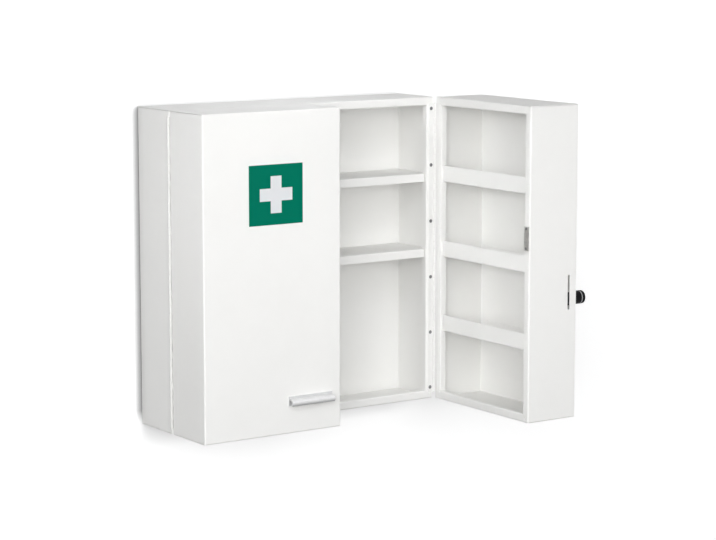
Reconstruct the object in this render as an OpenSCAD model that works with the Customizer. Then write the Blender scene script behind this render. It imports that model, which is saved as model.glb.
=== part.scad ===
// Lockable two-door medicine cabinet of folded sheet steel. A shallow case hangs on the wall, and two deep
// box doors with trays turn on piano hinges at its outer front corners. Magnetic catches hold the doors,
// and a turn knob with a hook cam locks the right door to the left one.
// The origin is the centre of the four wall holes on the rear face. +X is to the right, +Z is up and the
// cabinet stands out of the wall towards -Y. Door pieces are drawn with the door closed and then turned
// about its hinge axis.

/* [Cabinet] */
// Width over the sides of the case
cabinet_w = 526; // [480:1:700]
// Height of the case and the doors
cabinet_h = 530; // [510:1:640]
// Depth of the case
case_d = 102.5; // [90:0.5:150]
// Depth of a door
door_d = 101.5; // [80:0.5:150]
// Gap between the two closed doors
door_gap = 2.5; // [2:0.5:4]
// Angle by which the left door stands open
left_open = 0; // [0:5:170]
// Angle by which the right door stands open
right_open = 90; // [0:5:170]

/* [Sheet] */
// Thickness of the sheet
sheet_t = 1; // [0.8:0.1:1.2]
// Outer radius of a fold
bend_r = 2.5; // [2:0.1:3]
// Width of the flange round a mouth
flange_w = 14.5; // [14:0.5:18]
// Depth of the return behind a flange
return_d = 12; // [8:0.5:14]
// Open seam between two walls at a corner
seam = 0.6; // [0.4:0.1:1]
// Gap of the mitres between two flanges
mitre_gap = 0.3; // [0.2:0.1:0.6]

/* [Shelves and trays] */
// Height of the upper shelf's top face above the middle
shelf_upper_z = 132; // [100:1:150]
// Height of the lower shelf's top face above the middle
shelf_lower_z = 0; // [-40:1:10]
// Height of a shelf's front lip
shelf_lip = 14; // [11:1:20]
// Distance of a shelf's lip behind the front of the case
shelf_setback = 5.5; // [5.5:0.5:8]
// Height of the upper tray's underside above the middle
tray_upper_z = 118; // [100:1:130]
// Distance from one tray to the next
tray_pitch = 131; // [110:1:140]
// Height of a tray's lip
tray_lip = 28.5; // [20:0.5:40]
// Distance of a tray's lip behind the mouth of the door
tray_setback = 5; // [4:0.5:8]
// Height of the weld tabs of shelves and trays
tab_h = 10; // [6:1:10]

/* [Hinges] */
// Length of a hinge knuckle
knuckle_pitch = 12.7; // [10:0.1:12.7]
// Number of knuckle pairs on a hinge
knuckle_pairs = 20; // [16:1:20]
// Outer radius of a knuckle
knuckle_r = 2.55; // [2.5:0.05:2.55]
// Radius of the hinge pin
pin_r = 1.5; // [1.2:0.1:1.5]
// Gap between the flanges of case and door, which the knuckles bridge
hinge_gap = 2; // [2:0.1:2.2]
// Distance of the hinge axis outside the side of the case
hinge_out = 2.3; // [2:0.1:3]
// Width of a leaf on its flange
leaf_w = 9; // [8.5:0.5:11]
// Thickness of a leaf
leaf_t = 0.9; // [0.7:0.1:0.9]
// Distance between two rivets
rivet_pitch = 98; // [80:1:98]
// Number of rivets in a leaf
rivet_count = 6; // [4:2:6]

/* [Lock] */
// Distance of the lock's axis from the right door's latch side
lock_inset = 23.25; // [23:0.05:24]
// Height of the lock's axis above the middle
lock_z = -65; // [-90:1:-60]
// Radius of the knob
knob_r = 11.5; // [11:0.5:13]
// Distance that the knob stands out of the door
knob_h = 31; // [28:1:34]
// Turn of the knob from its open position
knob_turn = 0; // [0:15:90]
// Turn of the key cylinder in the knob
key_turn = 0; // [0:15:90]

/* [Pull handle] */
// Length of the pull strip
handle_w = 84; // [60:1:90]
// Middle of the pull strip, from the middle of the cabinet
handle_x = -62; // [-90:1:-60]
// Height of the pull strip's lower edge above the middle
handle_z = -219; // [-235:1:-180]

/* [Wall fixing] */
// Distance between the wall holes across the cabinet
wall_hole_dx = 220; // [180:10:240]
// Distance between the wall holes up the cabinet
wall_hole_dz = 420; // [380:10:420]
// Radius of a wall hole
wall_hole_r = 3.5; // [2.5:0.5:4]

/* [Hidden] */

$fn = 64;
// Length by which a cut runs past a face, so that it leaves no skin
over = 0.5;
// Radial clearance of a screw, rivet or barrel in its hole
fit = 0.05;

// Doors
door_w = (cabinet_w - door_gap) / 2;
door_x = (cabinet_w + door_gap) / 4;
mating_y = -(case_d + hinge_gap);
front_y = mating_y - door_d;
hinge_x = cabinet_w / 2 + hinge_out;
hinge_y = -(case_d + hinge_gap / 2);

// Hinges
hinge_l = 2 * knuckle_pairs * knuckle_pitch;
knuckle_clear = 0.4;
notch_clear = 0.45;
pin_head_r = 2.2;
pin_head_h = 0.8;
rivet_x = hinge_out + 5.5;
rivet_r = 1.6;
rivet_head_r = 3.1;
rivet_head_h = 0.75;
rivet_tail_r = 2.7;
rivet_tail_h = 1.6;
rivet_dimple_r = 0.6;
rivet_dimple_h = 0.5;

// Centre post and catches
post_w = 38;
post_fold_r = 2;
post_setback = 3;
catch_x = 8.6;
catch_z = 45.5;
catch_ear = [13, 1.5, 50];
catch_block = [12, 2.9, 34];
catch_body_d = 9.5;
catch_wall = 1;
pole = [1.2, 0.7, 30];
magnet = [5.6, 0.4, 28];
catch_screw_dz = 21.5;
catch_screw_r = 1.5;
catch_head_r = 2.6;
catch_head_h = 1.4;
catch_screw_l = 7;

// Strike plates
strike = [12.5, 1, 40.5];
strike_x = 8.75;
strike_screw_dx = 1.5;
strike_screw_dz = 16.5;
strike_screw_r = 1.4;
strike_screw_l = 6;
strike_head_r = 2.4;
slit = 0.7;

// Lock, as distances from the axis and from the door's front face
barrel_r = 8;
barrel_l = 14;
bezel_r = 11;
bezel_h = 1.5;
lock_nut_r = 13;
lock_nut_h = 4.5;
lock_nut_sides = 6;
knob_edge_r = 2.4;
knob_groove_h = 5.5;
knob_groove_w = 2.4;
knob_groove_d = 0.8;
knob_gap = 0.3;
knob_waist = 1.2;
seat_d = 2;
spindle_r = 5;
spindle_clear = 0.08;
spindle_head_r = 7.5;
cam_depth = 17;
cam_t = 2.4;
cam_w = 14;
cam_reach = 38;
cam_square = 7;
cam_nose = 20;
cam_nose_w = 10;
cam_corner_r = 2;
cam_screw_r = 1.9;
cam_screw_l = 9;
cam_head_r = 5.5;
cam_head_h = 2.4;
plug_r = 4.4;
plug_l = 14;
plug_rim_r = 5.4;
plug_rim_h = 1.8;
keyway = [1.3, 6.4, 4];
keyway_ward = [2.2, 1.6, 4];
slot_w = 4.5;
slot_top = 44;
slot_foot = 15;

// Pull handle, as distances from the door's face and from its lower edge
handle_base = [2.2, 16];
handle_curl = [6.4, 5.6];
handle_curl_r = 6.3;
handle_curl_t = 1.8;
handle_curl_end = -50;
handle_screw_dx = 56;
handle_screw_r = 2;
handle_head_r = 3.8;
handle_head_h = 2.2;

// Flat shapes

// Rectangle with round corners, from y = 0 down to y = -d
module round_rect(w, d, r) {
    translate([0, -d / 2]) {
        square([w - 2 * r, d], center = true);
        square([w, d - 2 * r], center = true);
        for (x = [-1, 1], y = [-1, 1]) translate([x * (w / 2 - r), y * (d / 2 - r)]) circle(r);
    }
}

// Folded angle with its outer corner at the origin: a web of length a along +x and a leg of length b along -y
module angle_2d(a, b, r = bend_r) {
    translate([r, -sheet_t]) square([a - r, sheet_t]);
    translate([0, -b]) square([sheet_t, b - r]);
    translate([r, -r]) intersection() {
        difference() {
            circle(r);
            circle(r - sheet_t);
        }
        translate([-r, 0]) square(r);
    }
}

// Section of a folded box: its sheet at y = -d, two walls, and a flange and a return on both sides of the
// mouth at y = 0
module box_section(w, d) {
    lip_x = w / 2 - flange_w;
    difference() {
        round_rect(w, d, bend_r);
        translate([0, -sheet_t]) round_rect(w - 2 * sheet_t, d - 2 * sheet_t, bend_r - sheet_t);
        translate([-lip_x - bend_r, -2 * sheet_t]) square([2 * (lip_x + bend_r), 3 * sheet_t]);
    }
    for (side = [0, 1]) mirror([side, 0]) translate([lip_x, 0]) angle_2d(bend_r + sheet_t, return_d);
}

// Solid shapes

// Extrudes along x what is drawn in (y, z), centred on x = 0
module along_x(w) {
    rotate([90, 0, 90]) linear_extrude(w, center = true) children();
}

// Extrudes along y what is drawn in (x, z), from y = top_y down to y = top_y - d
module down_y(top_y, d) {
    translate([0, top_y, 0]) rotate([90, 0, 0]) linear_extrude(d) children();
}

// Cylinder along y, from y = from_y to y = to_y
module rod_y(r, from_y, to_y) {
    translate([0, to_y, 0]) rotate([90, 0, 0]) cylinder(r = r, h = to_y - from_y);
}

// Box as for box_section, folded from one sheet, with mitred flanges and open seams beside its end walls
module folded_box(w, h, d) {
    lip = [w / 2 - flange_w, h / 2 - flange_w];
    difference() {
        union() {
            intersection() {
                linear_extrude(h, center = true) box_section(w, d);
                for (side = [0, 1]) mirror([side, 0, 0]) down_y(over, d + 2 * over)
                    polygon([[w / 2, -h / 2], [w / 2, h / 2], [0, h / 2 - w / 2], [0, w / 2 - h / 2]]);
            }
            intersection() {
                along_x(w) mirror([1, -1]) box_section(h, d);
                for (side = [0, 1]) mirror([0, 0, side]) down_y(over, d + 2 * over)
                    polygon([[-w / 2, h / 2], [w / 2, h / 2], [0, h / 2 - w / 2]]);
            }
        }
        for (x = [-1, 1], z = [-1, 1]) {
            // Seam between a side wall and an end wall
            translate([x * (w - sheet_t) / 2, -d / 2, z * (h / 2 - sheet_t - seam / 2)])
                cube([sheet_t + 2 * over, d - 2 * bend_r, seam], center = true);
            // Mitre through the flanges
            translate([x * (w - flange_w) / 2, 0, z * (h - flange_w) / 2]) rotate([0, -45 * x * z, 0])
                cube([sqrt(2) * flange_w, 2 * sheet_t, mitre_gap], center = true);
            // Mitre through the returns
            translate([x * lip[0], -return_d / 2, z * lip[1]]) rotate([0, -45 * x * z, 0])
                cube([4 * bend_r, return_d + 2 * over, mitre_gap], center = true);
        }
    }
}

// Screw along z: the pan head stands on z = 0 and the shank runs down
module pan_screw(r, head_r, head_h, length, slot) {
    difference() {
        union() {
            rotate_extrude() polygon(concat(
                [[0, -0.1], [r, -0.1], [r, 0], [head_r, 0]],
                [for (a = [0:15:75]) [head_r - head_h * 0.6 * (1 - cos(a)), head_h * (0.4 + 0.6 * sin(a))]],
                [[head_r - head_h * 0.6, head_h], [0, head_h]]));
            translate([0, 0, -length]) cylinder(r = r, h = length);
        }
        translate([0, 0, head_h]) cube([slot, 2 * head_r, head_h], center = true);
    }
}

// Case

// Space of the front flanges' mitre at the top right corner, which the side's sheet leaves to the end wall's
module mitre_side_2d(f) {
    x = cabinet_w / 2 - sheet_t;
    z = cabinet_h / 2 - sheet_t - mitre_gap;
    polygon([[x, z], [x - f, z - f], [x - f, z + f], [x, z + f]]);
}

// Space which the end wall's sheet leaves to the side's
module mitre_end_2d(f) {
    x = cabinet_w / 2 - sheet_t;
    z = cabinet_h / 2 - sheet_t;
    polygon([[x, z], [x + f, z], [x + f, z - f], [x - f, z - f]]);
}

module case_wrap() {
    wall_h = cabinet_h - 2 * sheet_t;
    mitre = flange_w + bend_r;
    color("white") difference() {
        translate([0, -case_d, 0]) mirror([0, 1, 0])
            linear_extrude(wall_h, center = true) box_section(cabinet_w, case_d);
        for (x = [0, 1], z = [0, 1]) mirror([x, 0, 0]) mirror([0, 0, z]) {
            down_y(return_d + over - case_d, return_d + 2 * over) mitre_side_2d(mitre);
            translate([(cabinet_w - sheet_t) / 2, -case_d / 2, wall_h / 2])
                cube([sheet_t + 2 * over, case_d - 2 * bend_r, 2 * seam], center = true);
            translate([wall_hole_dx / 2, 0, wall_hole_dz / 2]) rod_y(wall_hole_r, -2 * sheet_t, over);
        }
        both_hinges() at_rivets() rod_y(rivet_r + fit, -over, 3 * sheet_t);
    }
}

// End wall of the case, drawn at the top
module case_end() {
    mitre = flange_w + bend_r;
    color("white") difference() {
        intersection() {
            translate([0, -case_d, 0]) mirror([0, 1, 0]) along_x(cabinet_w) intersection() {
                mirror([1, -1]) box_section(cabinet_h, case_d + 3 * bend_r);
                translate([-case_d, cabinet_h / 2 - flange_w]) square([case_d, flange_w]);
            }
            linear_extrude(cabinet_h, center = true) round_rect(cabinet_w, case_d, bend_r);
        }
        for (x = [0, 1]) mirror([x, 0, 0])
            down_y(return_d + over - case_d, return_d + 2 * over) mitre_end_2d(mitre);
    }
}

module case_top() {
    case_end();
}

module case_bottom() {
    mirror([0, 0, 1]) case_end();
}

// Shelf with its top face at z = 0, a front lip, and weld tabs at the rear and on both sides
module shelf() {
    front = case_d - shelf_setback;
    inner_w = cabinet_w - 2 * (flange_w + sheet_t);
    wall_w = cabinet_w - 2 * sheet_t;
    side_l = case_d - return_d - sheet_t - bend_r;
    color("white") {
        along_x(inner_w) {
            translate([-front, 0]) angle_2d(front - 2 * bend_r, shelf_lip);
            translate([-sheet_t, 0]) mirror([1, 0]) angle_2d(3 * bend_r, tab_h);
        }
        for (side = [0, 1]) mirror([side, 0, 0])
            down_y(-bend_r, side_l) translate([-wall_w / 2, 0]) angle_2d(flange_w + 2 * bend_r, tab_h);
    }
}

module shelf_upper() {
    translate([0, 0, shelf_upper_z]) shelf();
}

module shelf_lower() {
    translate([0, 0, shelf_lower_z]) shelf();
}

// Post behind the closing edges of the doors, with a window for each catch
module centre_post() {
    post_h = cabinet_h - 2 * flange_w;
    color("white") difference() {
        translate([0, post_setback - case_d, 0]) linear_extrude(post_h, center = true)
            for (side = [0, 1]) mirror([side, 0]) translate([-post_w / 2, 0]) mirror([0, 1])
                angle_2d(post_w / 2, shelf_setback - post_setback, post_fold_r);
        for (side = [-1, 1]) at_catch(side) {
            cube([catch_block[0], 4 * sheet_t, catch_block[2]], center = true);
            at_catch_screws() rod_y(catch_screw_r + fit, -over, 2 * sheet_t);
        }
    }
}

// Magnetic catches

// Places a catch, drawn with x = 0 and z = 0 at its middle and y = 0 on the post
module at_catch(side) {
    translate([side * catch_x, post_setback - case_d, catch_z]) children();
}

module at_catch_screws() {
    for (z = [-1, 1]) translate([0, 0, z * catch_screw_dz]) children();
}

module catch_housing(side) {
    pocket_w = magnet[0] + 2 * pole[0];
    color("whitesmoke") at_catch(side) difference() {
        union() {
            translate([0, -catch_ear[1] / 2, 0]) cube(catch_ear, center = true);
            translate([0, (catch_body_d - catch_block[1]) / 2, 0])
                cube([catch_block[0], catch_body_d + catch_block[1], catch_block[2]], center = true);
        }
        translate([-pocket_w / 2, -catch_block[1] - over, -pole[2] / 2])
            cube([pocket_w, catch_body_d + catch_block[1] + over - catch_wall, pole[2]]);
        at_catch_screws() rod_y(catch_screw_r + fit, -2 * catch_ear[1], over);
    }
}

module catch_housing_left() {
    catch_housing(-1);
}

module catch_housing_right() {
    catch_housing(1);
}

module catch_magnets() {
    face_y = magnet[1] - catch_block[1];
    color("dimgray") for (side = [-1, 1]) at_catch(side) translate([-magnet[0] / 2, face_y, -magnet[2] / 2])
        cube([magnet[0], catch_body_d - catch_wall - face_y, magnet[2]]);
}

module catch_poles() {
    face_y = -pole[1] - catch_block[1];
    color("silver") for (side = [-1, 1], x = [0, 1]) at_catch(side) mirror([x, 0, 0])
        translate([magnet[0] / 2, face_y, -pole[2] / 2])
        cube([pole[0], catch_body_d - catch_wall - face_y, pole[2]]);
}

module catch_screws() {
    color("silver") for (side = [-1, 1]) at_catch(side) at_catch_screws() translate([0, -catch_ear[1], 0])
        rotate([90, 0, 0]) pan_screw(catch_screw_r, catch_head_r, catch_head_h, catch_screw_l, slit);
}

// Hinges

// Draws with the right hinge's axis as the z axis
module right_hinge() {
    translate([hinge_x, hinge_y, 0]) children();
}

module both_hinges() {
    for (side = [0, 1]) mirror([side, 0, 0]) right_hinge() children();
}

// Repeats at each rivet of a case leaf, with y = 0 on the outer face of the leaf
module at_rivets() {
    for (i = [0:rivet_count - 1])
        translate([-rivet_x, hinge_gap / 2 - leaf_t, (i - (rivet_count - 1) / 2) * rivet_pitch]) children();
}

// Leaf on the case's side of the axis, with every second knuckle counted from the first one
module hinge_leaf(first) {
    leaf_y = hinge_gap / 2 - leaf_t;
    neck_x = knuckle_r + notch_clear;
    translate([-hinge_out - leaf_w, leaf_y, -hinge_l / 2])
        cube([hinge_out + leaf_w - neck_x, leaf_t, hinge_l]);
    for (k = [0:knuckle_pairs - 1])
        translate([0, 0, (2 * k + first) * knuckle_pitch + knuckle_clear / 2 - hinge_l / 2])
            linear_extrude(knuckle_pitch - knuckle_clear) difference() {
                union() {
                    circle(knuckle_r);
                    translate([-neck_x - over, leaf_y]) square([neck_x + over, leaf_t]);
                }
                circle(pin_r + fit);
            }
}

module case_leaf() {
    color("white") right_hinge() difference() {
        hinge_leaf(0);
        at_rivets() rotate([90, 0, 0]) rotate_extrude()
            polygon([[0, -leaf_t - over], [rivet_r + fit, -leaf_t - over], [rivet_r + fit, -rivet_head_h - fit],
                [rivet_head_r + fit, 0], [rivet_head_r + fit, over], [0, over]]);
    }
}

module door_leaf() {
    color("white") right_hinge() mirror([0, 1, 0]) hinge_leaf(1);
}

// Rivets with countersunk heads in the leaf and set tails behind the flange
module hinge_rivets() {
    grip = leaf_t + sheet_t;
    tail = -grip - rivet_tail_h;
    color("gray") right_hinge() at_rivets() rotate([90, 0, 0]) rotate_extrude()
        polygon([[0, tail], [rivet_tail_r - rivet_dimple_r, tail], [rivet_tail_r, tail + rivet_dimple_r],
            [rivet_tail_r, -grip], [rivet_r, -grip], [rivet_r, -rivet_head_h], [rivet_head_r, 0],
            [rivet_dimple_r, 0], [rivet_dimple_r, -rivet_dimple_h], [0, -rivet_dimple_h]]);
}

module hinge_pin() {
    end_z = (hinge_l - knuckle_clear) / 2;
    color("silver") right_hinge() {
        translate([0, 0, -end_z - pin_head_h]) cylinder(r = pin_head_r, h = pin_head_h);
        translate([0, 0, -end_z - over]) cylinder(r = pin_r, h = 2 * end_z + knuckle_clear + 2 * over);
        translate([0, 0, end_z + knuckle_clear]) cylinder(r = pin_head_r, h = pin_head_h);
    }
}

module case_leaf_left() {
    mirror([1, 0, 0]) case_leaf();
}

module case_leaf_right() {
    case_leaf();
}

module hinge_rivets_left() {
    mirror([1, 0, 0]) hinge_rivets();
}

module hinge_rivets_right() {
    hinge_rivets();
}

module hinge_pin_left() {
    mirror([1, 0, 0]) hinge_pin();
}

module hinge_pin_right() {
    hinge_pin();
}

// Doors

// Turns what is drawn on the closed right door
module on_right_door() {
    right_hinge() rotate([0, 0, right_open]) translate([-hinge_x, -hinge_y, 0]) children();
}

// Turns what is drawn on the closed left door
module on_left_door() {
    mirror([1, 0, 0]) right_hinge() rotate([0, 0, left_open]) translate([-hinge_x, -hinge_y, 0])
        mirror([1, 0, 0]) children();
}

// Shell as the right door's: folded box, slot for the cam and holes for the strike plate's screws
module door_shell() {
    difference() {
        translate([door_x, mating_y, 0]) folded_box(door_w, cabinet_h, door_d);
        translate([door_gap / 2 + sheet_t / 2, front_y + cam_depth, lock_z]) {
            translate([0, 0, (slot_top - slot_foot) / 2])
                cube([3 * sheet_t, slot_w, slot_top + slot_foot - slot_w], center = true);
            for (z = [slot_top - slot_w / 2, slot_w / 2 - slot_foot]) translate([0, 0, z])
                rotate([0, 90, 0]) cylinder(r = slot_w / 2, h = 3 * sheet_t, center = true);
        }
        at_strike_screws() rod_y(strike_screw_r + fit, -3 * sheet_t, over);
    }
}

// Tray as the right door's, from the underside of its base
module tray(level) {
    inner_w = door_w - 2 * (flange_w + sheet_t);
    wall_w = door_w - 2 * sheet_t;
    front = door_d - sheet_t;
    side_from = return_d + sheet_t;
    color("white") translate([door_x, mating_y, tray_upper_z - level * tray_pitch]) {
        along_x(inner_w) {
            translate([-tray_setback, 0]) rotate(180) angle_2d(front - tray_setback - 2 * bend_r, tray_lip);
            translate([-front, 0]) mirror([0, 1]) angle_2d(3 * bend_r, tab_h);
        }
        for (side = [0, 1]) mirror([side, 0, 0]) down_y(-side_from, door_d - bend_r - side_from)
            translate([-wall_w / 2, 0]) mirror([0, 1]) angle_2d(flange_w + 2 * bend_r, tab_h);
    }
}

// Repeats at the strike plate's screws, with y = 0 on the flange
module at_strike_screws() {
    for (z = [-1, 1])
        translate([strike_x + strike_screw_dx, mating_y, catch_z + z * strike_screw_dz]) children();
}

module strike_plate() {
    head_h = strike_head_r - strike_screw_r;
    color("silver") difference() {
        translate([strike_x, mating_y + strike[1] / 2, catch_z]) cube(strike, center = true);
        at_strike_screws() translate([0, strike[1], 0]) rotate([-90, 0, 0]) rotate_extrude()
            polygon([[0, over], [strike_head_r + over, over], [strike_screw_r, -head_h],
                [strike_screw_r, -2 * strike[1]], [0, -2 * strike[1]]]);
    }
}

module strike_screws() {
    head_h = strike_head_r - strike_screw_r;
    color("gray") at_strike_screws() translate([0, strike[1], 0]) rotate([-90, 0, 0]) difference() {
        rotate_extrude() polygon([[0, -fit], [strike_head_r - fit, -fit], [strike_screw_r, -head_h],
            [strike_screw_r, -strike_screw_l], [0, -strike_screw_l - strike_screw_r]]);
        cube([slit, 3 * strike_head_r, head_h], center = true);
    }
}

module left_door_shell() {
    color("white") on_left_door() difference() {
        mirror([1, 0, 0]) door_shell();
        at_handle_screws() rod_y(handle_screw_r + fit, -over, 2 * sheet_t);
    }
}

module right_door_shell() {
    color("white") on_right_door() difference() {
        door_shell();
        at_lock() translate([0, 0, -2 * sheet_t]) cylinder(r = barrel_r + fit, h = 3 * sheet_t);
    }
}

module left_tray_upper() {
    on_left_door() mirror([1, 0, 0]) tray(0);
}

module left_tray_middle() {
    on_left_door() mirror([1, 0, 0]) tray(1);
}

module left_tray_lower() {
    on_left_door() mirror([1, 0, 0]) tray(2);
}

module right_tray_upper() {
    on_right_door() tray(0);
}

module right_tray_middle() {
    on_right_door() tray(1);
}

module right_tray_lower() {
    on_right_door() tray(2);
}

module door_leaf_left() {
    on_left_door() mirror([1, 0, 0]) door_leaf();
}

module door_leaf_right() {
    on_right_door() door_leaf();
}

module strike_plate_left() {
    on_left_door() mirror([1, 0, 0]) strike_plate();
}

module strike_plate_right() {
    on_right_door() strike_plate();
}

module strike_screws_left() {
    on_left_door() mirror([1, 0, 0]) strike_screws();
}

module strike_screws_right() {
    on_right_door() strike_screws();
}

// Pull handle

// Repeats at the handle's screws, with y = 0 on the door's front face
module at_handle_screws() {
    for (x = [-1, 1])
        translate([handle_x + x * handle_screw_dx / 2, front_y, handle_z + handle_base[1] / 2]) children();
}

// Base on the door, and a web that curls down in front of it, with room for the fingers behind the curl
module pull_handle() {
    inner_r = handle_curl_r - handle_curl_t;
    far = 2 * handle_curl_r;
    toe = [cos(handle_curl_end), sin(handle_curl_end)];
    color("darkgray") on_left_door() difference() {
        translate([handle_x, front_y, handle_z]) along_x(handle_w) mirror([1, 0]) {
            square(handle_base);
            translate([0, handle_curl[1] + inner_r]) square([handle_curl[0], handle_curl_t]);
            translate(handle_curl) difference() {
                circle(handle_curl_r);
                circle(inner_r);
                polygon([[0, 0], [0, far], [-far, far], [-far, -far], far * toe]);
            }
            translate(handle_curl + (inner_r + handle_curl_t / 2) * toe) circle(handle_curl_t / 2);
        }
        at_handle_screws() rod_y(handle_screw_r + fit, -2 * handle_base[0], over);
    }
}

module handle_screws() {
    color("silver") on_left_door() at_handle_screws() translate([0, sheet_t, 0]) rotate([-90, 0, 0])
        pan_screw(handle_screw_r, handle_head_r, handle_head_h, sheet_t + handle_base[0] - 0.2, 1);
}

// Lock

// Draws at the lock of the closed door, with z = 0 on the front face and +z outwards
module at_lock() {
    translate([door_gap / 2 + lock_inset, front_y, lock_z]) rotate([90, 0, 0]) children();
}

module lock_housing() {
    color("black") on_right_door() at_lock() difference() {
        union() {
            cylinder(r = bezel_r, h = bezel_h);
            translate([0, 0, -barrel_l]) cylinder(r = barrel_r, h = barrel_l + over);
        }
        translate([0, 0, -barrel_l - over])
            cylinder(r = spindle_r + spindle_clear, h = barrel_l + bezel_h + 2 * over);
    }
}

module lock_nut() {
    color("dimgray") on_right_door() at_lock() translate([0, 0, -sheet_t - lock_nut_h]) difference() {
        cylinder(r = lock_nut_r, h = lock_nut_h, $fn = lock_nut_sides);
        translate([0, 0, -over]) cylinder(r = barrel_r + fit, h = lock_nut_h + 2 * over);
    }
}

// Draws at the lock, turned with the knob
module turned_knob() {
    on_right_door() at_lock() rotate([0, 0, knob_turn]) children();
}

// Knob with a waisted foot, a groove, and a rounded front edge round the seat of the key cylinder
module lock_knob() {
    foot_z = bezel_h + knob_gap;
    seat_r = plug_rim_r + 2 * fit;
    seat_z = knob_h - seat_d;
    groove_z = knob_h - knob_groove_h;
    edge_x = knob_r - knob_edge_r;
    edge_z = knob_h - knob_edge_r;
    color("black") turned_knob() rotate_extrude() polygon(concat(
        [[spindle_head_r + fit, foot_z], [knob_r - knob_waist, foot_z],
            [knob_r - knob_waist, foot_z + knob_waist], [knob_r, foot_z + 2 * knob_waist],
            [knob_r, groove_z - knob_groove_w / 2], [knob_r - knob_groove_d, groove_z],
            [knob_r, groove_z + knob_groove_w / 2]],
        [for (a = [0:7.5:90]) [edge_x + knob_edge_r * cos(a), edge_z + knob_edge_r * sin(a)]],
        [[seat_r, knob_h], [seat_r, seat_z], [spindle_head_r + fit, seat_z]]));
}

// Spindle: head in the knob, journal in the housing, and a square for the cam
module lock_spindle() {
    shoulder = cam_t / 2 - cam_depth;
    head_z = bezel_h + knob_gap;
    color("silver") turned_knob() difference() {
        union() {
            translate([0, 0, head_z]) cylinder(r = spindle_head_r, h = knob_h - seat_d - head_z);
            translate([0, 0, shoulder]) cylinder(r = spindle_r, h = head_z + over - shoulder);
            translate([-cam_square / 2, -cam_square / 2, shoulder - cam_t])
                cube([cam_square, cam_square, cam_t + over]);
        }
        translate([0, 0, knob_h - plug_l]) cylinder(r = plug_r + spindle_clear, h = plug_l);
        translate([0, 0, shoulder - cam_t - over]) cylinder(r = cam_screw_r + fit, h = cam_screw_l + 2);
    }
}

// Hook cam, which at rest points up with its nose towards the latch side. Turned by 90 degrees it reaches
// into the left door, and its nose drops behind the foot of that door's slot.
module lock_cam() {
    r = cam_corner_r;
    nose_y = cam_reach - cam_nose_w;
    color("silver") turned_knob() translate([0, 0, -cam_depth - cam_t / 2]) linear_extrude(cam_t) difference() {
        union() {
            circle(cam_w / 2);
            translate([-cam_w / 2, 0]) square([cam_w, cam_reach - r]);
            translate([-cam_nose, nose_y]) square([cam_nose, cam_nose_w - r]);
            translate([r - cam_nose, nose_y]) square([cam_nose + cam_w / 2 - 2 * r, cam_nose_w]);
            for (x = [r - cam_nose, cam_w / 2 - r]) translate([x, cam_reach - r]) circle(r);
        }
        square(cam_square, center = true);
    }
}

module cam_screw() {
    color("gray") turned_knob() translate([0, 0, -cam_depth - cam_t / 2]) rotate([180, 0, 0])
        pan_screw(cam_screw_r, cam_head_r, cam_head_h, cam_screw_l, 1);
}

// Key cylinder: barrel in the spindle, rim in the knob's seat, and a keyway
module key_plug() {
    seat_z = knob_h - seat_d;
    color("lightgray") turned_knob() rotate([0, 0, key_turn]) difference() {
        union() {
            translate([0, 0, knob_h - plug_l + over]) cylinder(r = plug_r, h = plug_l - seat_d);
            translate([0, 0, seat_z]) cylinder(r = plug_rim_r, h = plug_rim_h);
        }
        translate([0, 0, seat_z + plug_rim_h]) {
            cube([keyway[0], keyway[1], 2 * keyway[2]], center = true);
            translate([0, 1, 0]) cube([keyway_ward[0], keyway_ward[1], 2 * keyway_ward[2]], center = true);
        }
    }
}

case_wrap();
case_top();
case_bottom();
shelf_upper();
shelf_lower();
centre_post();
catch_housing_left();
catch_housing_right();
catch_magnets();
catch_poles();
catch_screws();
case_leaf_left();
case_leaf_right();
hinge_rivets_left();
hinge_rivets_right();
hinge_pin_left();
hinge_pin_right();
left_door_shell();
left_tray_upper();
left_tray_middle();
left_tray_lower();
door_leaf_left();
strike_plate_left();
strike_screws_left();
pull_handle();
handle_screws();
right_door_shell();
right_tray_upper();
right_tray_middle();
right_tray_lower();
door_leaf_right();
strike_plate_right();
strike_screws_right();
lock_housing();
lock_nut();
lock_knob();
lock_spindle();
lock_cam();
cam_screw();
key_plug();
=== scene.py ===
from math import cos, radians, sin

import bmesh
import bpy
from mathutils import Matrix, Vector


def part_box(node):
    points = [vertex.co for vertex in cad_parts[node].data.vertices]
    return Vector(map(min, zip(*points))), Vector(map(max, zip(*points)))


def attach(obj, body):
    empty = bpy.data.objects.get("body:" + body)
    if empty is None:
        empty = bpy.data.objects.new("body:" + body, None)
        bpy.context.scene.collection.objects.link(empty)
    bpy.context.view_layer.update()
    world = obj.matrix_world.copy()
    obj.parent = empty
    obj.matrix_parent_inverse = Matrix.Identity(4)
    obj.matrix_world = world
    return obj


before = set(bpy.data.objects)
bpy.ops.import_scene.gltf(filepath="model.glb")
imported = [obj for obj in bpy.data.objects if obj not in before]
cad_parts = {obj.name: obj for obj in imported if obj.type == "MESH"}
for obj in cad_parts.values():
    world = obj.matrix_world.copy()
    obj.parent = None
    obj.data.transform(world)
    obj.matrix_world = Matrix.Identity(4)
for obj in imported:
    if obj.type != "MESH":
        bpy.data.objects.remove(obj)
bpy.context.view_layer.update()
print("cabinet frame loaded:", len(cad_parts), "parts")

# helpers for modelling

pickLimits = {
    "squareOn": 0.9,  # how nearly a normal or an edge follows a direction to be picked
    "near": 0.001,  # how close the middle of a face is to the wanted place
}


def clearSelection():
    if bpy.context.object and bpy.context.object.mode != "OBJECT":
        bpy.ops.object.mode_set(mode="OBJECT")
    bpy.ops.object.select_all(action="DESELECT")


def nameIt(pieceName):
    piece = bpy.context.object
    piece.name = pieceName
    piece.data.name = pieceName
    return piece


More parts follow.
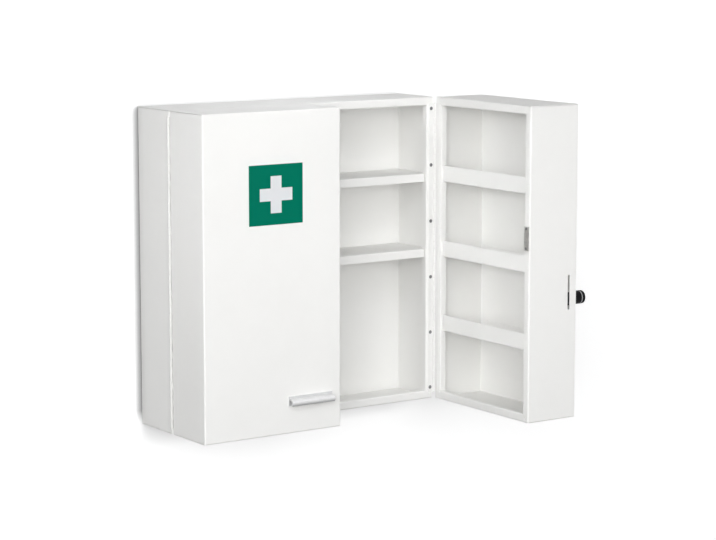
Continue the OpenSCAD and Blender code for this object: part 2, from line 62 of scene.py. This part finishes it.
def openForEdit(piece, pickMode="FACE"):
    clearSelection()
    piece.select_set(True)
    bpy.context.view_layer.objects.active = piece
    bpy.ops.object.mode_set(mode="EDIT")
    bpy.ops.mesh.select_mode(type=pickMode)
    bpy.ops.mesh.select_all(action="DESELECT")


def pickFaces(piece, wanted):
    shape = bmesh.from_edit_mesh(piece.data)
    for face in shape.faces:
        face.select_set(bool(wanted(face.normal, face.calc_center_median())))
    bmesh.update_edit_mesh(piece.data)


def pickEdges(piece, wanted):
    shape = bmesh.from_edit_mesh(piece.data)
    for edge in shape.edges:
        start, end = edge.verts[0].co, edge.verts[1].co
        edge.select_set(bool(wanted((end - start).normalized())))
    bmesh.update_edit_mesh(piece.data)


def settle(piece):
    # place, turn and size go into the mesh, so that the object sits at the origin
    clearSelection()
    piece.select_set(True)
    bpy.context.view_layer.objects.active = piece
    bpy.ops.object.transform_apply(location=True, rotation=True, scale=True)
    return piece


# helpers for shaders

def startGroup(groupName, inputs, outputs):
    group = bpy.data.node_groups.new(groupName, "ShaderNodeTree")
    for label, kind, value in inputs:
        socket = group.interface.new_socket(name=label, in_out="INPUT", socket_type=kind)
        if value is not None:
            socket.default_value = value
    for label, kind in outputs:
        group.interface.new_socket(name=label, in_out="OUTPUT", socket_type=kind)
    return group, group.nodes.new("NodeGroupInput"), group.nodes.new("NodeGroupOutput")


def mathNode(tree, operation, first, second, clamp=False):
    node = tree.nodes.new("ShaderNodeMath")
    node.operation = operation
    node.use_clamp = clamp
    for slot, value in enumerate((first, second)):
        if isinstance(value, (int, float)):
            node.inputs[slot].default_value = value
        else:
            tree.links.new(value, node.inputs[slot])
    return node.outputs[0]


def spreadNode(tree, value, fromLow, fromHigh, toLow, toHigh):
    node = tree.nodes.new("ShaderNodeMapRange")
    node.inputs["From Min"].default_value = fromLow
    node.inputs["From Max"].default_value = fromHigh
    node.inputs["To Min"].default_value = toLow
    node.inputs["To Max"].default_value = toHigh
    tree.links.new(value, node.inputs["Value"])
    return node.outputs["Result"]


def noiseNode(tree, vector, look):
    # look holds the scale, the detail and, where it isn't the usual one, the roughness
    scale, detail, *rough = look
    node = tree.nodes.new("ShaderNodeTexNoise")
    node.inputs["Scale"].default_value = scale
    node.inputs["Detail"].default_value = detail
    if rough:
        node.inputs["Roughness"].default_value = rough[0]
    tree.links.new(vector, node.inputs["Vector"])
    return node.outputs["Fac"]


def stretchNode(tree, vector, scale):
    node = tree.nodes.new("ShaderNodeMapping")
    node.inputs["Scale"].default_value = scale
    tree.links.new(vector, node.inputs["Vector"])
    return node.outputs["Vector"]


def axisNode(tree, vector, axis):
    node = tree.nodes.new("ShaderNodeSeparateXYZ")
    tree.links.new(vector, node.inputs["Vector"])
    return node.outputs[axis]


def mixColours(tree, factor, first, second):
    mixer = tree.nodes.new("ShaderNodeMix")
    mixer.data_type = "RGBA"
    tree.links.new(factor, mixer.inputs["Factor"])
    for label, value in (("A", first), ("B", second)):
        if isinstance(value, tuple):
            mixer.inputs[label].default_value = value
        else:
            tree.links.new(value, mixer.inputs[label])
    return mixer.outputs["Result"]


# effects that several finishes share

powderPeelLook = {
    "broadDetail": 1.5, "fineDetail": 1.0, "fineTimes": 3.1, "fineShare": 0.3,
    "cellTimes": 0.13, "speckWide": 0.035,
}


def buildPowderPeel(look):
    # the soft orange peel of a baked powder coat, with a few pinhead specks
    group, given, wanted = startGroup(
        "powderPeel",
        [("Vector", "NodeSocketVector", None), ("Size", "NodeSocketFloat", 520.0)],
        [("Height", "NodeSocketFloat"), ("Speck", "NodeSocketFloat")])
    size = given.outputs["Size"]
    broad = group.nodes.new("ShaderNodeTexNoise")
    broad.inputs["Detail"].default_value = look["broadDetail"]
    fine = group.nodes.new("ShaderNodeTexNoise")
    fine.inputs["Detail"].default_value = look["fineDetail"]
    cells = group.nodes.new("ShaderNodeTexVoronoi")
    for node in (broad, fine, cells):
        group.links.new(given.outputs["Vector"], node.inputs["Vector"])
    group.links.new(size, broad.inputs["Scale"])
    group.links.new(mathNode(group, "MULTIPLY", size, look["fineTimes"]), fine.inputs["Scale"])
    group.links.new(mathNode(group, "MULTIPLY", size, look["cellTimes"]), cells.inputs["Scale"])
    small = mathNode(group, "MULTIPLY", fine.outputs["Fac"], look["fineShare"])
    group.links.new(mathNode(group, "ADD", broad.outputs["Fac"], small), wanted.inputs["Height"])
    speck = mathNode(group, "LESS_THAN", cells.outputs["Distance"], look["speckWide"])
    group.links.new(speck, wanted.inputs["Speck"])
    return group


handledToneLook = {"slow": (5.5, 3.0), "patchy": (31.0, 4.0, 0.62), "patchFrom": 0.14, "patchTo": 0.42}


def buildHandledTone(look):
    # slow change of tone over a panel, and the duller patches that hands and cloths leave
    group, given, wanted = startGroup(
        "handledTone",
        [("Vector", "NodeSocketVector", None), ("Clean", "NodeSocketColor", (1, 1, 1, 1)),
         ("Handled", "NodeSocketColor", (0.8, 0.8, 0.8, 1)), ("Amount", "NodeSocketFloat", 0.5)],
        [("Color", "NodeSocketColor"), ("Patch", "NodeSocketFloat")])
    slow = noiseNode(group, given.outputs["Vector"], look["slow"])
    patchy = noiseNode(group, given.outputs["Vector"], look["patchy"])
    both = mathNode(group, "MULTIPLY", slow, patchy)
    patch = spreadNode(group, both, look["patchFrom"], look["patchTo"], 0.0, 1.0)
    amount = mathNode(group, "MULTIPLY", patch, given.outputs["Amount"], clamp=True)
    colour = mixColours(group, amount, given.outputs["Clean"], given.outputs["Handled"])
    group.links.new(colour, wanted.inputs["Color"])
    group.links.new(patch, wanted.inputs["Patch"])
    return group


drawLinesLook = {
    "coarse": (900.0, 2.0), "fine": (3300.0, 1.0), "coarseShare": 0.65, "fineShare": 0.35,
    "level": 0.5, "toneFrom": 0.35, "toneTo": 0.65,
}


def buildDrawLines(look):
    # long fine lines along the direction in which the vector is squeezed
    group, given, wanted = startGroup(
        "drawLines",
        [("Vector", "NodeSocketVector", None), ("Strength", "NodeSocketFloat", 1.0)],
        [("Height", "NodeSocketFloat"), ("Tone", "NodeSocketFloat")])
    coarse = noiseNode(group, given.outputs["Vector"], look["coarse"])
    fine = noiseNode(group, given.outputs["Vector"], look["fine"])
    lines = mathNode(group, "ADD", mathNode(group, "MULTIPLY", coarse, look["coarseShare"]),
                     mathNode(group, "MULTIPLY", fine, look["fineShare"]))
    centred = mathNode(group, "SUBTRACT", lines, look["level"])
    scaled = mathNode(group, "MULTIPLY", centred, given.outputs["Strength"])
    group.links.new(mathNode(group, "ADD", scaled, look["level"]), wanted.inputs["Height"])
    tone = spreadNode(group, lines, look["toneFrom"], look["toneTo"], 0.0, 1.0)
    group.links.new(tone, wanted.inputs["Tone"])
    return group


zincCloudLook = {
    "cloud": (140.0, 4.0, 0.6), "cloudFrom": 0.32, "cloudTo": 0.68, "scuffStretch": (1.0, 0.18, 1.0),
    "scuff": (1900.0, 2.0),
}


def buildZincCloud(look):
    # the clouded bloom of zinc plate, with short scuffs
    group, given, wanted = startGroup(
        "zincCloud",
        [("Vector", "NodeSocketVector", None), ("Bright", "NodeSocketColor", (0.7, 0.7, 0.7, 1)),
         ("Dull", "NodeSocketColor", (0.5, 0.5, 0.5, 1))],
        [("Color", "NodeSocketColor"), ("Cloud", "NodeSocketFloat"), ("Height", "NodeSocketFloat")])
    mottle = noiseNode(group, given.outputs["Vector"], look["cloud"])
    cloud = spreadNode(group, mottle, look["cloudFrom"], look["cloudTo"], 0.0, 1.0)
    streaky = stretchNode(group, given.outputs["Vector"], look["scuffStretch"])
    scuff = noiseNode(group, streaky, look["scuff"])
    colour = mixColours(group, cloud, given.outputs["Bright"], given.outputs["Dull"])
    group.links.new(colour, wanted.inputs["Color"])
    group.links.new(cloud, wanted.inputs["Cloud"])
    group.links.new(scuff, wanted.inputs["Height"])
    return group


effects = {
    "powderPeel": buildPowderPeel(powderPeelLook),
    "handledTone": buildHandledTone(handledToneLook),
    "drawLines": buildDrawLines(drawLinesLook),
    "zincCloud": buildZincCloud(zincCloudLook),
}
print("shared effects ready")


# finishes

def startMaterial(finishName):
    material = bpy.data.materials.new(finishName)
    material.use_nodes = True
    tree = material.node_tree
    return material, tree, tree.nodes["Principled BSDF"]


def objectPlace(tree):
    return tree.nodes.new("ShaderNodeTexCoord").outputs["Object"]


def useEffect(tree, effectName, vector, values):
    node = tree.nodes.new("ShaderNodeGroup")
    node.node_tree = effects[effectName]
    tree.links.new(vector, node.inputs["Vector"])
    for label, value in values.items():
        node.inputs[label].default_value = value
    return node


def bumpIt(tree, shader, height, strength, distance):
    bump = tree.nodes.new("ShaderNodeBump")
    bump.inputs["Strength"].default_value = strength
    bump.inputs["Distance"].default_value = distance
    tree.links.new(height, bump.inputs["Height"])
    tree.links.new(bump.outputs["Normal"], shader.inputs["Normal"])


def roughen(tree, shader, mask, look):
    tree.links.new(spreadNode(tree, mask, 0.0, 1.0, *look["rough"]), shader.inputs["Roughness"])


bumpHeights = {"powderCoat": 0.0002, "zincPlate": 0.00005, "drawnMetal": 0.00004, "mouldedPlastic": 0.00008}


def powderCoat(finishName, look):
    material, tree, shader = startMaterial(finishName)
    place = objectPlace(tree)
    tone = useEffect(tree, "handledTone", place,
                     {"Clean": look["clean"], "Handled": look["handled"], "Amount": look["amount"]})
    peel = useEffect(tree, "powderPeel", place, {"Size": look["peelSize"]})
    speckMask = mathNode(tree, "MULTIPLY", peel.outputs["Speck"], look["speckShare"])
    speckled = mixColours(tree, speckMask, tone.outputs["Color"], look["speck"])
    tree.links.new(speckled, shader.inputs["Base Color"])
    roughen(tree, shader, tone.outputs["Patch"], look)
    shader.inputs["Specular IOR Level"].default_value = look["specular"]
    bumpIt(tree, shader, peel.outputs["Height"], look["peel"], bumpHeights["powderCoat"])
    return material


def zincPlate(finishName, look):
    material, tree, shader = startMaterial(finishName)
    cloud = useEffect(tree, "zincCloud", objectPlace(tree), {"Bright": look["bright"], "Dull": look["dull"]})
    tree.links.new(cloud.outputs["Color"], shader.inputs["Base Color"])
    roughen(tree, shader, cloud.outputs["Cloud"], look)
    shader.inputs["Metallic"].default_value = look["metal"]
    bumpIt(tree, shader, cloud.outputs["Height"], look["scuff"], bumpHeights["zincPlate"])
    return material


def drawnMetal(finishName, look):
    material, tree, shader = startMaterial(finishName)
    place = objectPlace(tree)
    along = stretchNode(tree, place, look["along"])
    lines = useEffect(tree, "drawLines", along, {"Strength": look["depth"]})
    cloud = useEffect(tree, "zincCloud", place, {"Bright": look["bright"], "Dull": look["dull"]})
    streakMask = mathNode(tree, "MULTIPLY", lines.outputs["Tone"], look["streakShare"])
    colour = mixColours(tree, streakMask, cloud.outputs["Color"], look["streak"])
    if "paintedUnderShade" in look:
        # painted shade: undersides are darkened towards the under colour by their facing, standing in for
        # the shade beneath the curl
        normal = tree.nodes.new("ShaderNodeNewGeometry").outputs["Normal"]
        paintedUnderShadeMask = spreadNode(tree, axisNode(tree, normal, "Z"), -1.0, look["paintedUnderShadeFrom"], 1.0, 0.0)
        colour = mixColours(tree, paintedUnderShadeMask, colour, look["paintedUnderShade"])
    tree.links.new(colour, shader.inputs["Base Color"])
    roughen(tree, shader, lines.outputs["Tone"], look)
    shader.inputs["Metallic"].default_value = look["metal"]
    bumpIt(tree, shader, lines.outputs["Height"], look["lines"], bumpHeights["drawnMetal"])
    return material


def mouldedPlastic(finishName, look):
    material, tree, shader = startMaterial(finishName)
    place = objectPlace(tree)
    tone = useEffect(tree, "handledTone", place,
                     {"Clean": look["clean"], "Handled": look["handled"], "Amount": look["amount"]})
    colour = tone.outputs["Color"]
    if "paintedHighlightBand" in look:
        # a painted highlight: a lighter line round the grip, between two stations along its axis
        station = axisNode(tree, place, "X")
        past = mathNode(tree, "GREATER_THAN", station, look["paintedHighlightBand"][0])
        before = mathNode(tree, "LESS_THAN", station, look["paintedHighlightBand"][1])
        colour = mixColours(tree, mathNode(tree, "MULTIPLY", past, before), colour, look["paintedHighlightTone"])
    tree.links.new(colour, shader.inputs["Base Color"])
    grain = noiseNode(tree, place, (look["grainSize"], look["grainDetail"]))
    roughen(tree, shader, tone.outputs["Patch"], look)
    shader.inputs["Specular IOR Level"].default_value = look["specular"]
    bumpIt(tree, shader, grain, look["grain"], bumpHeights["mouldedPlastic"])
    return material


# what the coats of all sheets share, and those of both hinges
sheetCoat = {
    "amount": 0.22, "speck": (0.58, 0.58, 0.56, 1), "speckShare": 0.16, "peelSize": 520.0, "peel": 0.10,
    "rough": (0.50, 0.60), "specular": 0.4,
}
hingeCoat = {
    "amount": 0.45, "speck": (0.40, 0.40, 0.39, 1), "speckShare": 0.16, "peelSize": 700.0, "peel": 0.14,
    "rough": (0.62, 0.75), "specular": 0.25,
}
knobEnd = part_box("lock_knob")[1].x
finishes = {
    "whiteSheet": powderCoat("whiteSheet", {
        **sheetCoat, "clean": (0.92, 0.917, 0.897, 1), "handled": (0.86, 0.857, 0.834, 1)}),
    "whiteWrap": powderCoat("whiteWrap", {
        **sheetCoat, "clean": (0.942, 0.939, 0.92, 1), "handled": (0.885, 0.882, 0.86, 1)}),
    "plainHinge": powderCoat("plainHinge", {
        **hingeCoat, "clean": (0.90, 0.897, 0.88, 1), "handled": (0.81, 0.807, 0.79, 1)}),
    # the left hinge gets a darker copy of the same hinge coat: painted shade that tones down its brightly
    # lit knuckle barrel
    "paintedShadeHinge": powderCoat("paintedShadeHinge", {
        **hingeCoat, "clean": (0.83, 0.827, 0.81, 1), "handled": (0.71, 0.707, 0.69, 1)}),
    "brightZinc": zincPlate("brightZinc", {
        "bright": (0.76, 0.75, 0.735, 1), "dull": (0.62, 0.61, 0.595, 1), "rough": (0.25, 0.45),
        "metal": 1.0, "scuff": 0.25}),
    "darkRivet": zincPlate("darkRivet", {
        "bright": (0.34, 0.34, 0.35, 1), "dull": (0.20, 0.20, 0.205, 1), "rough": (0.28, 0.5),
        "metal": 1.0, "scuff": 0.35}),
    "castZinc": zincPlate("castZinc", {
        "bright": (0.58, 0.59, 0.60, 1), "dull": (0.40, 0.41, 0.42, 1), "rough": (0.38, 0.6),
        "metal": 1.0, "scuff": 0.5}),
    "ferrite": zincPlate("ferrite", {
        "bright": (0.055, 0.055, 0.058, 1), "dull": (0.03, 0.03, 0.032, 1), "rough": (0.55, 0.8),
        "metal": 0.2, "scuff": 0.6}),
    "satinAluminium": drawnMetal("satinAluminium", {
        "along": (0.02, 1.0, 1.0), "depth": 0.8, "lines": 0.25,
        "bright": (0.79, 0.792, 0.794, 1), "dull": (0.72, 0.722, 0.724, 1),
        "streak": (0.82, 0.82, 0.824, 1), "streakShare": 0.35, "rough": (0.40, 0.48), "metal": 0.45,
        # painted shade on the handle's underside, and the facing at which it begins
        "paintedUnderShade": (0.22, 0.22, 0.223, 1), "paintedUnderShadeFrom": 0.4}),
    "turnedChrome": drawnMetal("turnedChrome", {
        "along": (1.0, 0.05, 0.05), "depth": 0.3, "lines": 0.25,
        "bright": (0.78, 0.79, 0.80, 1), "dull": (0.70, 0.71, 0.72, 1),
        "streak": (0.84, 0.84, 0.85, 1), "streakShare": 0.35, "rough": (0.08, 0.16), "metal": 1.0}),
    "knobBlack": mouldedPlastic("knobBlack", {
        "clean": (0.005, 0.005, 0.006, 1), "handled": (0.010, 0.010, 0.011, 1), "amount": 0.6,
        "grainSize": 2400.0, "grainDetail": 2.0, "grain": 0.06, "rough": (0.12, 0.24), "specular": 0.05,
        # painted highlight line round the knob, just behind its end
        "paintedHighlightBand": (knobEnd - 0.0090, knobEnd - 0.0070), "paintedHighlightTone": (0.34, 0.34, 0.345, 1)}),
    "lockBlack": mouldedPlastic("lockBlack", {
        "clean": (0.018, 0.018, 0.019, 1), "handled": (0.035, 0.035, 0.036, 1), "amount": 0.5,
        "grainSize": 1800.0, "grainDetail": 2.0, "grain": 0.25, "rough": (0.34, 0.5), "specular": 0.5}),
    "catchWhite": mouldedPlastic("catchWhite", {
        "clean": (0.80, 0.80, 0.78, 1), "handled": (0.70, 0.70, 0.67, 1), "amount": 0.4,
        "grainSize": 1500.0, "grainDetail": 2.0, "grain": 0.2, "rough": (0.42, 0.6), "specular": 0.45}),
    "signGreen": mouldedPlastic("signGreen", {
        "clean": (0.0009, 0.172, 0.107, 1), "handled": (0.0016, 0.152, 0.096, 1), "amount": 0.35,
        "grainSize": 900.0, "grainDetail": 2.0, "grain": 0.05, "rough": (0.42, 0.6), "specular": 0.02}),
    "signWhite": mouldedPlastic("signWhite", {
        "clean": (0.77, 0.786, 0.80, 1), "handled": (0.71, 0.727, 0.74, 1), "amount": 0.35,
        "grainSize": 900.0, "grainDetail": 2.0, "grain": 0.05, "rough": (0.42, 0.6), "specular": 0.15}),
}
print("finishes ready:", len(finishes))

# which finish goes on which CAD part
dressing = {
    "whiteSheet": ["case_top", "case_bottom", "shelf_upper", "shelf_lower", "centre_post",
                   "left_door_shell", "left_tray_upper", "left_tray_middle", "left_tray_lower",
                   "right_door_shell", "right_tray_upper", "right_tray_middle", "right_tray_lower"],
    "whiteWrap": ["case_wrap"],
    "plainHinge": ["case_leaf_right", "door_leaf_right"],
    "paintedShadeHinge": ["case_leaf_left", "door_leaf_left"],
    "darkRivet": ["hinge_rivets_left", "hinge_rivets_right", "strike_screws_left", "strike_screws_right"],
    "brightZinc": ["hinge_pin_left", "hinge_pin_right", "catch_poles", "catch_screws", "strike_plate_left",
                   "strike_plate_right", "handle_screws", "cam_screw", "lock_cam"],
    "castZinc": ["lock_spindle"],
    "ferrite": ["catch_magnets"],
    "satinAluminium": ["pull_handle"],
    "turnedChrome": ["key_plug"],
    "knobBlack": ["lock_knob"],
    "lockBlack": ["lock_housing", "lock_nut"],
    "catchWhite": ["catch_housing_left", "catch_housing_right"],
}
for finishName, partNames in dressing.items():
    for partName in partNames:
        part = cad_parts[partName]
        part.data.materials.clear()
        part.data.materials.append(finishes[finishName])
undressed = set(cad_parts) - {partName for partNames in dressing.values() for partName in partNames}
if undressed:
    raise RuntimeError("no finish for " + ", ".join(sorted(undressed)))
print("cabinet parts dressed")

# first-aid sign on the left door: a thin green plate with a raised white cross

signPlate = {
    "wide": 0.1022, "high": 0.0976, "thick": 0.0004, "fromLeft": 0.1365, "fromTop": 0.1346,
    "corner": 0.0006, "cornerSteps": 4, "edgeFlat": 0.0003, "edgeDrop": 0.00003,
}
signCross = {
    "wide": 0.0618, "high": 0.0600, "arm": 0.0205, "thick": 0.0002, "fromLeft": 0.1366, "fromTop": 0.1345,
    "glue": 0.00002, "edgeFlat": 0.00015, "edgeDrop": 0.00003,
}
leftDoorLow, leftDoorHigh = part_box("left_door_shell")


def signMiddle(look, faceBehind):
    return Vector((leftDoorLow.x + look["fromLeft"], faceBehind - look["thick"] / 2,
                   leftDoorHigh.z - look["fromTop"]))


def easeFront(piece, look):
    # the front face stands a little proud of its edges
    bpy.ops.mesh.select_all(action="DESELECT")
    pickFaces(piece, lambda facing, spot: facing.y < -pickLimits["squareOn"])
    bpy.ops.mesh.inset(thickness=look["edgeFlat"])
    bpy.ops.transform.translate(value=(0, -look["edgeDrop"], 0))
    bpy.ops.object.mode_set(mode="OBJECT")


def makeSignPlate(look, doorFace):
    clearSelection()
    bpy.ops.mesh.primitive_cube_add(size=1.0, location=signMiddle(look, doorFace),
                                    scale=(look["wide"], look["thick"], look["high"]))
    plate = settle(nameIt("sign_plate"))
    openForEdit(plate, "EDGE")
    pickEdges(plate, lambda run: abs(run.y) > pickLimits["squareOn"])
    bpy.ops.mesh.bevel(offset=look["corner"], segments=look["cornerSteps"], affect="EDGES")
    bpy.ops.mesh.select_mode(type="FACE")
    easeFront(plate, look)
    return plate


def makeSignCross(look, plateFace):
    clearSelection()
    middle = signMiddle(look, plateFace)
    bpy.ops.mesh.primitive_cube_add(size=1.0, location=middle,
                                    scale=(look["arm"], look["thick"], look["arm"]))
    cross = settle(nameIt("sign_cross"))
    ways = ((1, 0, 0, "wide"), (-1, 0, 0, "wide"), (0, 0, 1, "high"), (0, 0, -1, "high"))
    for x, y, z, across in ways:
        openForEdit(cross)
        toward = Vector((x, y, z))
        start = middle + toward * look["arm"] / 2
        pickFaces(cross, lambda facing, spot: facing.dot(toward) > pickLimits["squareOn"]
                  and (spot - start).length < pickLimits["near"])
        reach = (look[across] - look["arm"]) / 2
        bpy.ops.mesh.extrude_region_move(TRANSFORM_OT_translate={"value": toward * reach})
    easeFront(cross, look)
    return cross


doorFace = leftDoorLow.y
plate = makeSignPlate(signPlate, doorFace)
plate.data.materials.append(finishes["signGreen"])
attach(plate, "left_door")
cross = makeSignCross(signCross, doorFace - signPlate["thick"] - signCross["glue"])
cross.data.materials.append(finishes["signWhite"])
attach(cross, "left_door")
print("sign made")

# wall, floor, lamps and camera

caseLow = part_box("case_wrap")[0]
studio = {
    "wallTone": (0.80, 0.80, 0.80, 1), "floorTone": (0.78, 0.78, 0.78, 1),
    "grainTone": (0.74, 0.74, 0.74, 1), "grain": (60.0, 2.0), "grainShare": 0.04,
    "lift": 0.47, "liftFarFrom": 1.3, "liftFarTo": 2.4,  # the paper's own glow, full at the far distance
    "spill": 0.4,  # share of the paper's light that reaches the cabinet's sides
    "airLight": 0.17, "wallGap": 0.0006, "throughGap": 0.002,
    "paperSize": 9.0, "wallMiddle": 2.0, "floorMiddle": -4.0, "floorDrop": 0.95,
}
# the close shadow on the paper: its reach, the way it looks, how dark it gets and where it starts
besideShade = {
    "reach": 0.0152, "toward": (0.70, -0.66, 0.25), "dark": 0.12, "axis": "Z",
    "start": (caseLow.z - 0.004, caseLow.z + 0.021),
}
underShade = {
    "reach": 0.046, "toward": (0.0, -0.50, 0.87), "dark": 0.60, "axis": "X",
    "start": (caseLow.x - 0.009, caseLow.x + 0.001),
}
shadeDepth = {"samples": 24, "deepest": 0.1}


def nearShade(tree, place, look):
    # the dark that gathers on the paper within reach of a part, seen from one direction
    around = tree.nodes.new("ShaderNodeAmbientOcclusion")
    around.samples = shadeDepth["samples"]
    around.inputs["Distance"].default_value = look["reach"]
    side = tree.nodes.new("ShaderNodeCombineXYZ")
    for label, value in zip("XYZ", look["toward"]):
        side.inputs[label].default_value = value
    tree.links.new(side.outputs["Vector"], around.inputs["Normal"])
    dark = spreadNode(tree, around.outputs["AO"], shadeDepth["deepest"], 1.0, 1.0 - look["dark"], 0.0)
    begun = spreadNode(tree, axisNode(tree, place, look["axis"]), *look["start"], 0.0, 1.0)
    return mathNode(tree, "SUBTRACT", 1.0, mathNode(tree, "MULTIPLY", dark, begun))


def seenRays(tree, path):
    # rays that come from the camera, from a mirror or through something clear
    seen = mathNode(tree, "MAXIMUM", path.outputs["Is Camera Ray"], path.outputs["Is Glossy Ray"])
    return mathNode(tree, "MAXIMUM", seen, path.outputs["Is Transmission Ray"])


def backdropPaper(finishName, tone):
    # white to the camera and to mirrors, still with the soft shadow of the cabinet, and unseen from behind
    material, tree, shader = startMaterial(finishName)
    shader.inputs["Roughness"].default_value = 1.0
    shader.inputs["Specular IOR Level"].default_value = 0.0
    place = objectPlace(tree)
    grain = mathNode(tree, "MULTIPLY", noiseNode(tree, place, studio["grain"]), studio["grainShare"])
    paper = mixColours(tree, grain, tone, studio["grainTone"])
    path = tree.nodes.new("ShaderNodeLightPath")
    # black flags beside the cabinet: less light comes back from the paper onto its sides
    held = mathNode(tree, "MULTIPLY", path.outputs["Is Diffuse Ray"], 1.0 - studio["spill"])
    beside, paintedUnderShade = nearShade(tree, place, besideShade), nearShade(tree, place, underShade)
    near = mathNode(tree, "MULTIPLY", beside, paintedUnderShade)
    kept = mathNode(tree, "MULTIPLY", near, mathNode(tree, "SUBTRACT", 1.0, held))
    tree.links.new(mixColours(tree, kept, (0, 0, 0, 1), paper), shader.inputs["Base Color"])
    # beyond the lamps' reach the paper is lifted to full white
    away = tree.nodes.new("ShaderNodeVectorMath")
    away.operation = "LENGTH"
    tree.links.new(place, away.inputs[0])
    lift = spreadNode(tree, away.outputs["Value"], studio["liftFarFrom"], studio["liftFarTo"],
                      studio["lift"], 1.0)
    shaded = mathNode(tree, "MULTIPLY", seenRays(tree, path), near)
    lifted = mathNode(tree, "MULTIPLY", shaded, lift)
    shader.inputs["Emission Color"].default_value = (1, 1, 1, 1)
    tree.links.new(lifted, shader.inputs["Emission Strength"])
    # light also comes through to the back of the cabinet, which all but touches the paper
    touching = mathNode(tree, "LESS_THAN", path.outputs["Ray Length"], studio["throughGap"])
    behind = tree.nodes.new("ShaderNodeNewGeometry").outputs["Backfacing"]
    chooser = tree.nodes.new("ShaderNodeMixShader")
    clear = tree.nodes.new("ShaderNodeBsdfTransparent")
    tree.links.new(mathNode(tree, "MAXIMUM", behind, touching), chooser.inputs["Fac"])
    tree.links.new(shader.outputs["BSDF"], chooser.inputs[1])
    tree.links.new(clear.outputs["BSDF"], chooser.inputs[2])
    tree.links.new(chooser.outputs["Shader"], tree.nodes["Material Output"].inputs["Surface"])
    return material


def makePaper(paperName, place, turn, finish):
    clearSelection()
    bpy.ops.mesh.primitive_plane_add(size=studio["paperSize"], location=place,
                                     rotation=(radians(turn), 0, 0))
    paper = settle(nameIt(paperName))
    paper.data.materials.append(finish)
    return paper


def makeBackdrop():
    wall = makePaper("backdrop_wall", (0, studio["wallGap"], studio["wallMiddle"]), 90,
                     backdropPaper("wallPaint", studio["wallTone"]))
    floor = makePaper("backdrop_floor", (0, studio["floorMiddle"], -studio["floorDrop"]), 0,
                      backdropPaper("floorPaint", studio["floorTone"]))


def makeAir():
    air = bpy.data.worlds.new("studioAir")
    bpy.context.scene.world = air
    air.use_nodes = True
    tree = air.node_tree
    glow = tree.nodes["Background"]
    glow.inputs["Color"].default_value = (1, 1, 1, 1)
    seen = seenRays(tree, tree.nodes.new("ShaderNodeLightPath"))
    tree.links.new(spreadNode(tree, seen, 0.0, 1.0, studio["airLight"], 1.0), glow.inputs["Strength"])


# turn is to the right of straight ahead, rise is above level, and size is across the round front
paleBlue = (0.96, 0.97, 1)
softBox = {"far": 3.8, "aim": (0.05, -0.2, 0.0), "size": 2.0, "spread": 180, "tint": (1, 1, 1)}
lamps = {
    "lampLeftFront": {"turn": -36, "rise": 9, "watts": 42.5},
    "lampLeft": {"turn": -60, "rise": 10, "watts": 31.0},
    "lampFront": {"turn": -6, "rise": 8, "watts": 24.8},
    "lampFrontRight": {"turn": 4, "rise": 8, "watts": 8.9, "size": 1.2},
    "lampHigh": {"turn": 0, "rise": 40, "watts": 6.1, "tint": paleBlue},
    "lampHighLeft": {"turn": -36, "rise": 40, "watts": 29.0, "tint": paleBlue},
    "lampRight": {"turn": 86, "rise": 10, "watts": 56.0, "size": 1.6},
    "lampBehind": {"turn": 150, "rise": 14, "watts": 84.0},
    "lampIntoDoor": {"turn": -72, "rise": 14, "watts": 0.15, "size": 0.5, "far": 3.0, "spread": 14,
                     "aim": (0.33, -0.22, 0.03)},
    "lampOverCase": {"turn": -10, "rise": 80, "watts": 0.085, "size": 0.3, "far": 2.2, "spread": 16,
                     "aim": (-0.03, -0.10, 0.265), "tint": paleBlue},
}


def makeLamp(lampName, look):
    # a round soft box that faces its aim
    clearSelection()
    turn, rise = radians(look["turn"]), radians(look["rise"])
    aim = Vector(look["aim"])
    toLamp = Vector((sin(turn) * cos(rise), -cos(turn) * cos(rise), sin(rise)))
    bpy.ops.object.light_add(type="AREA", location=aim + toLamp * look["far"])
    lamp = bpy.context.object
    lamp.name = lampName
    lamp.data.shape = "DISK"
    lamp.data.size = look["size"]
    lamp.data.energy = look["watts"]
    lamp.data.color = look["tint"]
    lamp.data.spread = radians(look["spread"])
    lamp.rotation_euler = (-toLamp).to_track_quat("-Z", "Y").to_euler()


viewpoint = {
    "place": (-2.1258, -3.3501, 0.5616), "heading": 34.48, "dip": 8.46, "lens": 117.28, "film": 36.0,
}


def makeCamera(look):
    clearSelection()
    bpy.ops.object.camera_add(location=look["place"])
    camera = bpy.context.object
    camera.name = "catalogueCamera"
    camera.data.lens = look["lens"]
    camera.data.sensor_width = look["film"]
    camera.data.dof.use_dof = False
    camera.rotation_euler = (radians(90 - look["dip"]), 0, radians(-look["heading"]))
    bpy.context.scene.camera = camera


makeBackdrop()
makeAir()
for lampName, look in lamps.items():
    makeLamp(lampName, {**softBox, **look})
makeCamera(viewpoint)
bpy.context.scene.view_settings.view_transform = "Standard"
print("studio ready")

bpy.context.view_layer.update()
